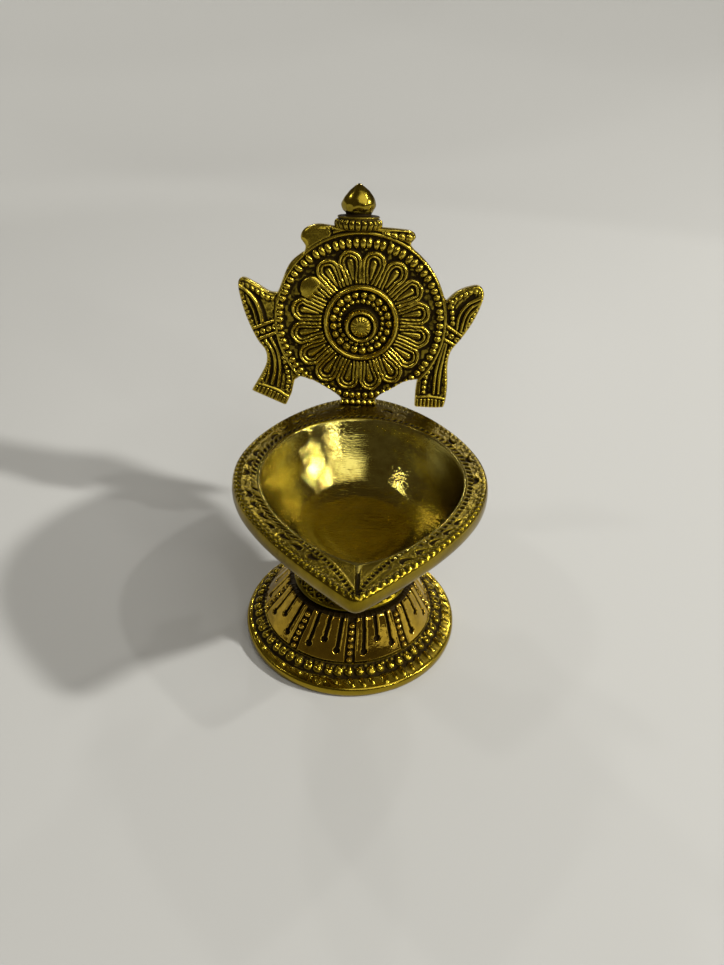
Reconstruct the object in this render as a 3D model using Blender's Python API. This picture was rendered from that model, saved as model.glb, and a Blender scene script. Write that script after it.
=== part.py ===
"""Cast brass oil lamp: bell foot, leaf-shaped bowl with a pointed spout, and a back plate in the
shape of a wheel between two hanging ribbons, with a bud finial. The bowl unscrews from the foot.

The spout points along -Y and the back plate stands at +Y. Z = 0 is the table.
Lengths below are in millimetres and are scaled to metres where meshes are made.
"""
import math

import bmesh
import bpy
from mathutils import Matrix, Vector

MM = 0.001
GAP = 0.3            # clear space between neighbouring solids
STEPS = 96           # points round each turned piece and round the bowl

FOOT_Y = -5.2        # the foot's axis, so that the box of the whole lamp is centred on the origin
FOOT_R = 27.5
CONE_TOP_Z = 15.2
CONE_TOP_R = 15.8
BOSS_BOTTOM_Z = 8.0
STUD_R = 2.9
HOLE_R = STUD_R + GAP

COLLAR_R = 14.6
COLLAR_TOP_Z = 20.2
WAIST_Z = COLLAR_TOP_Z + GAP
WAIST_R = 11.0

RIM_Z = 44.0
RIM_THICK = 4.3
BOWL_DX = 1.5        # the bowl sits a little to one side of the foot's axis
MOUTH_DX = 1.9       # and its mouth a little further, so one side of the rim is wider
BOWL_FLOOR_Z = 27.5
BOWL_FLOOR_Y = 2.0
WALL = 3.0
STUD_TOP_Z = 24.4

PLATE_Y = 38.2       # front face of the back plate where it meets the rim
PLATE_THICK = 3.0
PLATE_LEAN = math.radians(9.0)
WHEEL_S = 23.0       # height of the wheel's centre above the rim, along the plate
WHEEL_R = 22.9
PLATE_TOP = 24.2
TANG_R = 1.25
TANG_Y = PLATE_Y + PLATE_THICK / 2
FINIAL_X = -1.3
SPIGOT_R = 0.75


def clear_scene():
    for obj in list(bpy.data.objects):
        bpy.data.objects.remove(obj, do_unlink=True)


def brass(name, colour, roughness):
    made = bpy.data.materials.new(name)
    made.use_nodes = True
    shader = made.node_tree.nodes["Principled BSDF"]
    shader.inputs["Base Color"].default_value = (*colour, 1.0)
    shader.inputs["Metallic"].default_value = 1.0
    shader.inputs["Roughness"].default_value = roughness
    made.diffuse_color = (*colour, 1.0)
    return made


def add_solid(name, points, faces, smooth=True):
    """A mesh object from points in millimetres, with its faces turned outward."""
    mesh = bpy.data.meshes.new(name)
    mesh.from_pydata([tuple(c * MM for c in p) for p in points], [], faces)
    work = bmesh.new()
    work.from_mesh(mesh)
    bmesh.ops.recalc_face_normals(work, faces=work.faces)
    work.to_mesh(mesh)
    work.free()
    obj = bpy.data.objects.new(name, mesh)
    bpy.context.scene.collection.objects.link(obj)
    if smooth:
        mesh.shade_smooth()
        mesh.set_sharp_from_angle(angle=math.radians(35))
    return obj


def loft(name, rings, closed=False):
    """A skin over rings of equal length. A ring of one point is a pole, closed joins last to first."""
    points, starts = [], []
    for ring in rings:
        starts.append(len(points))
        points += ring
    faces = []
    pairs = list(zip(range(len(rings) - 1), range(1, len(rings))))
    if closed:
        pairs.append((len(rings) - 1, 0))
    for a, b in pairs:
        size = max(len(rings[a]), len(rings[b]))
        for i in range(size):
            k = (i + 1) % size
            low = [starts[a] + i, starts[a] + k] if len(rings[a]) > 1 else [starts[a]]
            high = [starts[b] + k, starts[b] + i] if len(rings[b]) > 1 else [starts[b]]
            faces.append(low + high)
    return add_solid(name, points, faces)


def turned(name, profile, centre=(0.0, 0.0), steps=STEPS, depth=1.0):
    """A body of revolution about a vertical axis from (radius, z) points. A zero radius is a pole."""
    rings = []
    for r, z in profile:
        if r == 0:
            rings.append([(centre[0], centre[1], z)])
            continue
        turn = [2 * math.pi * i / steps for i in range(steps)]
        rings.append([(centre[0] + r * math.cos(a), centre[1] + depth * r * math.sin(a), z) for a in turn])
    return loft(name, rings, closed=profile[0][0] > 0)


def combine(target, other, operation):
    """Applies an exact Boolean at once, then removes the other object."""
    step = target.modifiers.new(operation.lower(), "BOOLEAN")
    step.operation = operation
    step.solver = "EXACT"
    step.object = other
    graph = bpy.context.evaluated_depsgraph_get()
    result = bpy.data.meshes.new_from_object(target.evaluated_get(graph))
    target.modifiers.clear()
    target.data = result
    result.name = target.name
    bpy.data.objects.remove(other, do_unlink=True)
    result.shade_smooth()
    result.set_sharp_from_angle(angle=math.radians(35))


def curve(p0, p1, p2, p3, count):
    """Points on a cubic curve, without its last point."""
    made = []
    for i in range(count):
        t = i / count
        w = ((1 - t) ** 3, 3 * t * (1 - t) ** 2, 3 * t * t * (1 - t), t ** 3)
        made.append(tuple(sum(k * p[c] for k, p in zip(w, (p0, p1, p2, p3))) for c in (0, 1)))
    return made


def leaf(shift, tip, tip_pull, side_pull, side, rear_pull, end_pull, end):
    """A closed leaf outline of STEPS points: tip, widest point, round end, and the mirrored half."""
    front = curve(tip, tip_pull, side_pull, side, 28)
    rear = curve(side, rear_pull, end_pull, end, STEPS // 2 - 28)
    half = front + rear
    back = [(-x, y) for x, y in half[1:]][::-1]
    return [(x + shift, y) for x, y in half + [end] + back]


def offset(loop, distance):
    """The closed counter-clockwise loop moved outward by the distance."""
    made = []
    for i, (x, y) in enumerate(loop):
        ax, ay = loop[i - 1]
        bx, by = loop[(i + 1) % len(loop)]
        before = Vector((x - ax, y - ay)).normalized()
        after = Vector((bx - x, by - y)).normalized()
        normal = Vector((before.y + after.y, -before.x - after.x))
        normal = normal / max(normal.length_squared / 2, 0.8)
        made.append((x + distance * normal.x, y + distance * normal.y))
    return made


def at(loop, z):
    return [(x, y, z) for x, y in loop]


def round_loop(radius):
    """A circle on the foot's axis whose points pair with those of a leaf outline."""
    turn = [2 * math.pi * i / STEPS - math.pi / 2 for i in range(STEPS)]
    return [(radius * math.cos(a), radius * math.sin(a)) for a in turn]


def blend(first, second, share):
    return [tuple(a + (b - a) * share for a, b in zip(p, q)) for p, q in zip(first, second)]


def make_foot():
    outer = [(27.0, 0.0), (27.5, 0.5), (27.5, 2.2), (27.1, 2.6), (25.9, 2.8), (22.6, 4.3), (22.1, 4.9)]
    outer += [(CONE_TOP_R + 0.4, 14.6), (CONE_TOP_R - 0.3, CONE_TOP_Z)]
    bore = [(HOLE_R, CONE_TOP_Z), (HOLE_R, BOSS_BOTTOM_Z), (6.2, BOSS_BOTTOM_Z), (6.2, 12.0)]
    inner = [(12.6, 12.0), (13.6, 11.4), (19.4, 3.0), (20.6, 0.5), (21.0, 0.0)]
    return turned("foot", outer + bore + inner)


def make_collar():
    low = CONE_TOP_Z + GAP
    side = [(14.1, low), (COLLAR_R, low + 0.4), (COLLAR_R, low + 0.9), (13.9, low + 1.3)]
    slope = [(12.9, 17.6), (12.1, 18.7), (11.6, 19.7), (11.4, COLLAR_TOP_Z)]
    return turned("waist_collar", side + slope + [(HOLE_R, COLLAR_TOP_Z), (HOLE_R, low)])


def make_bowl():
    rim = leaf(BOWL_DX, (0, -41.0), (21, -23), (30.6, -11), (30.6, 4.5), (30.6, 21), (14, 42.5),
               (0, 42.8))
    mouth = leaf(MOUTH_DX, (0, -29.2), (9, -27.5), (24.5, -12), (24.5, 3.5), (24.5, 17),
                 (14.5, 30.2), (0, 30.2))
    centre = [(MOUTH_DX, BOWL_FLOOR_Y)] * STEPS
    depth = RIM_Z - BOWL_FLOOR_Z
    rings = [[(MOUTH_DX, BOWL_FLOOR_Y, BOWL_FLOOR_Z)]]
    for share in (0.14, 0.28, 0.42, 0.54, 0.64, 0.73, 0.81, 0.88, 0.94, 0.99):
        rings.append(at(blend(centre, mouth, share), BOWL_FLOOR_Z + depth * share ** 4))
    rings.append(at(offset(mouth, 0.3), RIM_Z))
    rings.append(at(offset(rim, -1.2), RIM_Z))
    under = RIM_Z - RIM_THICK
    for out, z in ((-0.3, 43.8), (0.0, 43.3), (0.2, 41.9), (0.0, 40.6), (-0.5, 39.9), (-1.2, under)):
        rings.append(at(offset(rim, out), z))
    for out, z in ((WALL + 1.6, under), (WALL + 0.6, 39.2), (WALL, 37.8)):
        rings.append(at(offset(mouth, out), z))
    wall = offset(mouth, WALL)
    waist = round_loop(WAIST_R)
    for z in (35.6, 33.2, 30.8, 28.4, 26.2, 24.4, 22.9, 21.8):
        share = ((z - 21.2) / (37.8 - 21.2)) ** 0.7
        rings.append(at(blend(waist, wall, share), z))
    rings += [at(waist, 21.2), at(round_loop(WAIST_R - 0.3), WAIST_Z)]
    rings += [at(round_loop(HOLE_R), WAIST_Z), at(round_loop(HOLE_R), STUD_TOP_Z + GAP)]
    rings.append([(0, 0, STUD_TOP_Z + GAP)])
    bowl = loft("bowl", rings)
    hole = turned("hole", [(0, RIM_Z + 3), (TANG_R + GAP, RIM_Z + 3), (TANG_R + GAP, 37.0), (0, 37.0)],
                  centre=(0, TANG_Y), steps=32)
    combine(bowl, hole, "DIFFERENCE")
    return bowl


def smooth_path(points, per_span=3):
    """An open path through the points, rounded between them."""
    made = []
    for i in range(len(points) - 1):
        p0, p1 = points[max(i - 1, 0)], points[i]
        p2, p3 = points[i + 1], points[min(i + 2, len(points) - 1)]
        for k in range(per_span):
            t = k / per_span
            w = (-t + 2 * t * t - t ** 3, 2 - 5 * t * t + 3 * t ** 3,
                 t + 4 * t * t - 3 * t ** 3, -t * t + t ** 3)
            made.append(tuple(sum(a * p[c] for a, p in zip(w, (p0, p1, p2, p3))) / 2 for c in (0, 1)))
    return made + [points[-1]]


def wheel_arc(start, end, count):
    """Points on the wheel's edge between two angles in degrees, both left out."""
    angles = [math.radians(start + (end - start) * i / count) for i in range(1, count)]
    return [(WHEEL_R * math.cos(a), WHEEL_R * math.sin(a) + 0.3) for a in angles]


def plate_outline():
    """The back plate's edge, counter-clockwise from the right of its neck, in (across, up) points."""
    neck = WHEEL_S - GAP - PLATE_THICK * math.sin(PLATE_LEAN)
    under_right = smooth_path([(5.2, -neck), (4.8, -21.4), (6.4, -19.8), (9.4, -18.0), (12.8, -15.9),
                               (16.2, -15.2)])
    tail_right = [(15.9, -18.6), (15.9, -23.1)]
    ribbon_right = smooth_path([(22.6, -23.2), (24.2, -22.2), (24.6, -17.0), (24.2, -10.8), (24.8, -7.0),
                                (27.2, -3.6), (29.6, 0.4), (31.4, 4.6), (32.2, 8.4), (30.9, 10.5),
                                (28.0, 10.1), (25.0, 8.7), (22.6, 6.4)])
    banner_right = smooth_path([(13.4, 18.9), (12.3, 20.4), (13.4, 22.2), (12.2, 23.6), (8.6, 24.0),
                                (4.8, PLATE_TOP)])
    banner_left = smooth_path([(-7.6, PLATE_TOP), (-11.8, 24.5), (-14.9, 23.3), (-15.9, 21.2),
                               (-14.7, 19.2), (-15.0, 17.7)])
    ribbon_left = smooth_path([(-22.2, 7.0), (-24.4, 7.2), (-27.8, 9.2), (-31.2, 10.6), (-32.4, 8.8),
                               (-31.4, 3.4), (-29.6, -1.8), (-27.6, -5.8), (-25.6, -8.6), (-25.4, -11.8),
                               (-27.0, -15.4), (-29.6, -19.8)])
    tail_left = [(-20.2, -23.9), (-18.7, -20.6), (-17.8, -16.6)]
    under_left = smooth_path([(-16.2, -15.5), (-12.6, -16.5), (-9.0, -18.4), (-6.4, -20.0), (-4.8, -21.4),
                              (-5.2, -neck)])
    right = under_right + tail_right + ribbon_right + wheel_arc(16, 54, 7) + banner_right
    left = banner_left + wheel_arc(130, 162, 6) + ribbon_left + tail_left + under_left
    return right + left


def make_plate():
    outline = plate_outline()
    inner = offset(outline, -0.3)
    layers = [(inner, 0.0), (outline, 0.3), (outline, PLATE_THICK - 0.3), (inner, PLATE_THICK)]
    points = [(x, y, s) for loop, y in layers for x, s in loop]
    n = len(outline)
    faces = [[k * n + i, k * n + (i + 1) % n, (k + 1) * n + (i + 1) % n, (k + 1) * n + i]
             for k in range(3) for i in range(n)]
    faces += [list(range(n)), list(range(3 * n, 4 * n))]
    plate = add_solid("back_plate", points, faces)
    face_front = Matrix.Rotation(math.radians(90), 4, "X")
    ring = turned("ring", [(8.6, -1.0), (8.6, 1.1), (9.0, 1.5), (9.6, 1.5), (10.0, 1.1), (10.0, -1.0)],
                  steps=64)
    boss = turned("boss", [(0, 2.3), (2.6, 2.2), (3.6, 2.4), (4.2, 1.9), (4.4, -1.0), (0, -1.0)], steps=48)
    for extra in (ring, boss):
        extra.data.transform(face_front)
        combine(plate, extra, "UNION")
    hole, above = SPIGOT_R + GAP, PLATE_TOP + 2
    socket = turned("socket", [(0, above), (hole, above), (hole, 20.6), (0, 20.6)],
                    centre=(FINIAL_X, PLATE_THICK / 2), steps=24)
    combine(plate, socket, "DIFFERENCE")
    plate.data.transform(plate_place())
    tang = turned("tang", [(0, RIM_Z + 2.2), (TANG_R, RIM_Z + 2.2), (TANG_R, 34.8), (0, 34.8)],
                  centre=(0, TANG_Y), steps=32)
    combine(plate, tang, "UNION")
    return plate


def plate_place():
    """From the plate's own frame, with its wheel centred at the origin, to the lamp's."""
    lean = Matrix.Rotation(-PLATE_LEAN, 4, "X")
    up = Matrix.Translation(Vector((0, 0, WHEEL_S)) * MM)
    return Matrix.Translation(Vector((0, PLATE_Y, RIM_Z)) * MM) @ lean @ up


def make_finial():
    low = PLATE_TOP + GAP
    cup = [(0, 20.9), (SPIGOT_R, 20.9), (SPIGOT_R, low), (4.2, low), (5.3, low + 0.4), (5.8, low + 1.3),
           (5.4, low + 2.2), (4.2, low + 2.8), (3.2, low + 3.2)]
    bud = [(3.3, low + 3.9), (4.0, low + 4.7), (4.2, low + 5.6), (3.9, low + 6.5), (3.0, low + 7.6),
           (1.8, low + 8.7), (0.8, low + 9.5), (0, 34.3)]
    finial = turned("finial", cup + bud, centre=(FINIAL_X, PLATE_THICK / 2), steps=48, depth=0.75)
    finial.data.transform(plate_place())
    return finial


def make_fixings():
    stud = turned("bowl_stud", [(0, 6.8), (STUD_R - 0.5, 6.8), (STUD_R, 7.3), (STUD_R, STUD_TOP_Z),
                                (0, STUD_TOP_Z)], steps=48)
    top = RIM_Z - RIM_THICK - GAP
    hole = TANG_R + GAP
    washer = turned("tang_washer", [(hole, top), (hole, top - 0.8), (2.8, top - 0.8), (2.8, top)],
                    centre=(0, TANG_Y), steps=48)
    top -= 0.8 + GAP
    nut = turned("tang_nut", [(hole, top), (hole, top - 2.3), (2.65, top - 2.3), (2.65, top)],
                 centre=(0, TANG_Y), steps=6)
    return stud, washer, nut


def hang_on(pivot, pieces):
    """Gives the pieces the pivot's point as their origin and parents them to it, where they are."""
    for piece in pieces:
        piece.data.transform(Matrix.Translation(-pivot.location))
        piece.parent = pivot


def main():
    clear_scene()
    foot = make_foot()
    collar, bowl, plate, finial = make_collar(), make_bowl(), make_plate(), make_finial()
    stud, washer, nut = make_fixings()
    looks = {
        "foot_brass": (foot, (0.42, 0.31, 0.09), 0.34),
        "collar_brass": (collar, (0.40, 0.29, 0.08), 0.38),
        "bowl_brass": (bowl, (0.52, 0.40, 0.13), 0.22),
        "plate_brass": (plate, (0.40, 0.30, 0.09), 0.36),
        "finial_brass": (finial, (0.46, 0.36, 0.11), 0.30),
        "stud_brass": (stud, (0.50, 0.37, 0.14), 0.40),
        "washer_brass": (washer, (0.48, 0.35, 0.13), 0.42),
        "nut_brass": (nut, (0.48, 0.35, 0.13), 0.40),
    }
    shift = Matrix.Translation(Vector((0, FOOT_Y, 0)) * MM)
    for name, (obj, colour, roughness) in looks.items():
        obj.data.transform(shift)
        obj.data.materials.clear()
        obj.data.materials.append(brass(name, colour, roughness))
    pivot = bpy.data.objects.new("bowl_pivot", None)
    pivot.location = Vector((0, FOOT_Y, CONE_TOP_Z + GAP)) * MM
    bpy.context.scene.collection.objects.link(pivot)
    hang_on(pivot, (collar, bowl, plate, finial, stud, washer, nut))


main()
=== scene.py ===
"""Visual model of a cast brass oil lamp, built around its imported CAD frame.

Lengths are in millimetres in the lamp's own frame: the foot's axis is x = y = 0, the table is z = 0,
the spout points along -Y and the back plate stands at +Y. place() turns them into metres.
"""
import math

import bmesh
import bpy
import numpy as np
from mathutils import Matrix, Vector
from mathutils.geometry import delaunay_2d_cdt


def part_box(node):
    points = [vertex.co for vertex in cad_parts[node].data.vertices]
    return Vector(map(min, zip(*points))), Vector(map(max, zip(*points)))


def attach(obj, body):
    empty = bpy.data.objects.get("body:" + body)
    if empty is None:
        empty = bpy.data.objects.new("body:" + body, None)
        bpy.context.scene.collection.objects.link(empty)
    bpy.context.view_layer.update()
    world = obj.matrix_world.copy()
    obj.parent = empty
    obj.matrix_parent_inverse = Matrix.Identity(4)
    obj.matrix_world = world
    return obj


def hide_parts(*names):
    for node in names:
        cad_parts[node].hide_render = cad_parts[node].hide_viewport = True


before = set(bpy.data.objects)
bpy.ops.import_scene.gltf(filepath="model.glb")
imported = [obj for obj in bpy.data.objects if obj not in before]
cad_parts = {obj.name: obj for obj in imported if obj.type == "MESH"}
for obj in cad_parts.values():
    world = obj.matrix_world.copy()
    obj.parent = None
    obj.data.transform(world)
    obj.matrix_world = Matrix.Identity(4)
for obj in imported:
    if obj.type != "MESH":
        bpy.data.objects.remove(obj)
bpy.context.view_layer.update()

MM = 0.001
foot_low, foot_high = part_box("foot")
AXIS = np.array([(foot_low.x + foot_high.x) / 2, (foot_low.y + foot_high.y) / 2, 0.0])

BORE_R = 3.2             # the hole for the stud, through foot, collar and bowl
SEAT_Z = 15.2            # the foot's flat top
COLLAR_LOW, COLLAR_TOP = 15.5, 20.4
FLOOR_Z = 27.5           # the bowl's inside bottom
RIM_Z, RIM_UNDER_Z = 44.0, 39.7
MOUTH_X = 1.9            # the bowl's mouth sits a little right of the axis
PLATE_Y = 38.2
PLATE_THICK = 3.0
LEAN = math.radians(9.0)
WHEEL_S = 23.0           # the wheel's centre above the rim, along the plate


# ---------------------------------------------------------------- numbers over arrays

def smooth(low, high, x):
    t = np.clip((x - low) / (high - low), 0.0, 1.0)
    return t * t * (3 - 2 * t)


def dome(d):
    """Height of a round bump against distance from its middle, both as shares."""
    return np.sqrt(np.clip(1 - d * d, 0.0, None))


def ridge(d, half):
    return dome(np.asarray(d) / half)


def bell(d, half):
    return np.exp(-(d / half) ** 2)


def mixed(first, second, share):
    return first * (1 - share) + share * second


def window(start, full, fading, end, x):
    """0 outside start to end, and 1 between full and fading."""
    return smooth(start, full, x) * smooth(end, fading, x)


def chance(i, j, k, seed):
    """Repeatable random numbers from 0 to 1 for whole-number places."""
    i, j, k = (np.asarray(v).astype(np.int64) for v in (i, j, k))
    n = (i * 374761393 + j * 668265263 + k * 1274126177 + seed * 974634777) & 0xFFFFFFFF
    n = ((n ^ (n >> 13)) * 1103515245) & 0xFFFFFFFF
    n = ((n ^ (n >> 15)) * 2246822519) & 0xFFFFFFFF
    return ((n ^ (n >> 16)) & 0xFFFF) / 65535.0


def vary(low, high, i, j, seed, k=0):
    """A repeatable value between low and high for each whole-number place."""
    return low + (high - low) * chance(i, j, k, seed)


def noise(points, size, seed):
    """Smooth random values from -1 to 1 over points, with lumps of about that size."""
    q = points / size
    cell = np.floor(q)
    f = q - cell
    f = f * f * (3 - 2 * f)
    total = 0.0
    for corner in np.ndindex(2, 2, 2):
        weight = np.abs(1 - np.array(corner) - f).prod(-1)
        at = cell + corner
        total = total + weight * chance(at[..., 0], at[..., 1], at[..., 2], seed)
    return total * 2 - 1


def lumps(points, size, seed, layers=3):
    return sum(noise(points, size / 2 ** n, seed + 17 * n) / 2 ** n for n in range(layers)) / 1.75


def flat(x, y):
    """The places (x, y, 0), for noise over a flat sheet."""
    return np.stack([x, y, 0 * x], -1)


def spread(values, angle):
    """One value per ring, the same all the way round."""
    return np.asarray(values, float)[:, None] + 0 * angle


def rows_between(start, stop, count):
    """A column with 1 in the rows from start up to stop, and 0 in the others."""
    row = np.arange(count)[:, None]
    return ((row >= start) & (row < stop)).astype(float)


def blur(values, sigma, axis, wrap):
    """Gaussian blur along one axis, sigma in samples."""
    reach = max(1, int(3 * sigma))
    weights = np.exp(-0.5 * (np.arange(-reach, reach + 1) / sigma) ** 2)
    weights /= weights.sum()
    pad = [(0, 0)] * values.ndim
    pad[axis] = (reach, reach)
    wide = np.pad(values, pad, mode="wrap" if wrap else "edge")
    size = values.shape[axis]
    return sum(w * np.take(wide, np.arange(n, n + size), axis=axis) for n, w in enumerate(weights))


# ---------------------------------------------------------------- meshes

def place(points):
    return np.asarray(points, float) * MM + AXIS


def put(name, data):
    obj = bpy.data.objects.new(name, data)
    bpy.context.scene.collection.objects.link(obj)
    return obj


def build_mesh(name, points, corners, counts, layers):
    """A smooth-shaded object from points in millimetres, face corners and corners per face."""
    mesh = bpy.data.meshes.new(name)
    mesh.vertices.add(len(points))
    mesh.vertices.foreach_set("co", place(points).astype(np.float32).ravel())
    mesh.loops.add(len(corners))
    mesh.loops.foreach_set("vertex_index", corners.astype(np.int32))
    mesh.polygons.add(len(counts))
    mesh.polygons.foreach_set("loop_start", (np.cumsum(counts) - counts).astype(np.int32))
    mesh.update(calc_edges=True)
    mesh.validate()
    for key, values in layers.items():
        layer = mesh.attributes.new(key, "FLOAT", "POINT")
        layer.data.foreach_set("value", values.astype(np.float32).ravel())
    mesh.shade_smooth()
    return put(name, mesh)


def skin(name, grid, layers, closed=False, poles=False, inward=False):
    """A surface over grid[ring, place round] that wraps round. closed joins the last ring to the first,
    poles closes each end with a fan to the ring's middle, and inward turns faces that would look inward."""
    rings, around = grid.shape[:2]
    points = grid.reshape(-1, 3)
    layers = {k: v.reshape(-1) for k, v in layers.items()}
    index = np.arange(rings * around).reshape(rings, around)
    low = index if closed else index[:-1]
    high = np.roll(index, -1, 0) if closed else index[1:]
    faces = np.stack([low, np.roll(low, -1, 1), np.roll(high, -1, 1), high], -1).reshape(-1, 4)
    way = -1 if inward else 1
    corners, counts = [faces[:, ::way].ravel()], [np.full(len(faces), 4)]
    for end in (0, 1) if poles else ():
        ring = index[-end]
        middle = len(points)
        points = np.vstack([points, points[ring].mean(0)])
        layers = {k: np.append(v, v[ring].mean()) for k, v in layers.items()}
        fan = np.stack([np.full(around, middle), np.roll(ring, -1), ring], -1)
        corners.append(fan[:, ::-way if end else way].ravel())
        counts.append(np.full(around, 3))
    return build_mesh(name, points, np.concatenate(corners), np.concatenate(counts), layers)


def blank_layers(grid, recess_and_shade):
    return {"recess_and_shade": np.full(grid.shape[:2], recess_and_shade), "proud_minus_shade": np.zeros(grid.shape[:2])}


def relief_layers(height, sigma):
    """Two layers for the materials: how deep a place lies beside its surroundings, and how far it stands out."""
    around = blur(blur(height, sigma[1], 1, True), sigma[0], 0, False)
    gap = (around - height) / 0.30
    return {"recess_and_shade": np.clip(gap, 0, 1.5), "proud_minus_shade": np.clip(-gap, 0, 1.5)}


def path_through(points, step):
    """Places along a profile about step apart, with every corner kept."""
    made = [np.array(points[0], float)]
    for a, b in zip(points[:-1], points[1:]):
        a, b = np.array(a, float), np.array(b, float)
        n = max(1, int(round(np.linalg.norm(b - a) / step)))
        made += [a + (b - a) * k / n for k in range(1, n + 1)]
    return np.array(made)


def circle(around):
    """Angles once round from the spout."""
    return 2 * np.pi * np.arange(around) / around - np.pi / 2


def turned_grid(profile, around):
    """The grid of a turned piece from (radius, z) points, and the angle of each column."""
    angle = circle(around)
    r, z = profile[:, :1], profile[:, 1:]
    return np.stack([r * np.cos(angle), r * np.sin(angle), z + 0 * angle], -1), angle


def raised(grid, angle, rise, height):
    """A turned piece's grid, moved out along its normals by height. rise says how far the outward side
    faces up."""
    outward = np.stack([np.cos(angle), np.sin(angle), np.full(len(angle), rise)], -1)
    du = np.roll(grid, -1, 1) - np.roll(grid, 1, 1)
    dv = np.empty_like(grid)
    dv[1:-1] = grid[2:] - grid[:-2]
    dv[0], dv[-1] = grid[1] - grid[0], grid[-1] - grid[-2]
    n = np.cross(du, dv)
    n /= np.maximum(np.linalg.norm(n, axis=-1, keepdims=True), 1e-9)
    turn = np.sign((n * outward).sum(-1, keepdims=True))
    return grid + n * np.where(turn == 0, 1, turn) * height[..., None]


def spline(points, per_span):
    """An open smooth path through points (Catmull-Rom)."""
    points = [np.array(p, float) for p in points]
    made = []
    for i in range(len(points) - 1):
        p0, p1, p2 = points[max(i - 1, 0)], points[i], points[i + 1]
        p3 = points[min(i + 2, len(points) - 1)]
        for t in np.arange(per_span) / per_span:
            made.append(((-t + 2 * t * t - t ** 3) * p0 + (2 - 5 * t * t + 3 * t ** 3) * p1
                         + (t + 4 * t * t - 3 * t ** 3) * p2 + (t ** 3 - t * t) * p3) / 2)
    return np.array(made + [points[-1]])


def along(path, x, y):
    """Distance along the path, signed distance to its left and plain distance of each place."""
    gap = np.full(np.shape(x), 1e9)
    run, side, done = 0 * gap, 0 * gap, 0.0
    last = len(path) - 2
    for n, (a, b) in enumerate(zip(path[:-1], path[1:])):
        d = b - a
        length = np.hypot(*d)
        t = ((x - a[0]) * d[0] + (y - a[1]) * d[1]) / length ** 2
        held = np.clip(t, 0 if n else -9, 1 if n < last else 9)
        here = np.hypot(x - a[0] - held * d[0], y - a[1] - held * d[1])
        near = here < gap
        gap = np.where(near, here, gap)
        run = np.where(near, done + held * length, run)
        side = np.where(near, (d[0] * (y - a[1]) - d[1] * (x - a[0])) / length, side)
        done += length
    return run, side, gap


def near_line(points, x, y):
    return along(spline(points, 5), x, y)


# ---------------------------------------------------------------- materials

def node(tree, kind, **values):
    """A node with these inputs or settings."""
    made = tree.nodes.new(kind)
    for key, value in values.items():
        if key in made.inputs:
            feed(tree, [made.inputs[key]], [value])
        else:
            setattr(made, key, value)
    return made


def feed(tree, places, values):
    """Gives each input its value, or a link where the value is another node's output."""
    for where, value in zip(places, values):
        if hasattr(value, "node"):
            tree.links.new(value, where)
        else:
            where.default_value = value


def mix_colour(tree, share, first, second):
    made = node(tree, "ShaderNodeMix", data_type="RGBA")
    feed(tree, [made.inputs[n] for n in (0, 6, 7)], (share, first, second))
    return made.outputs[2]


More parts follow.
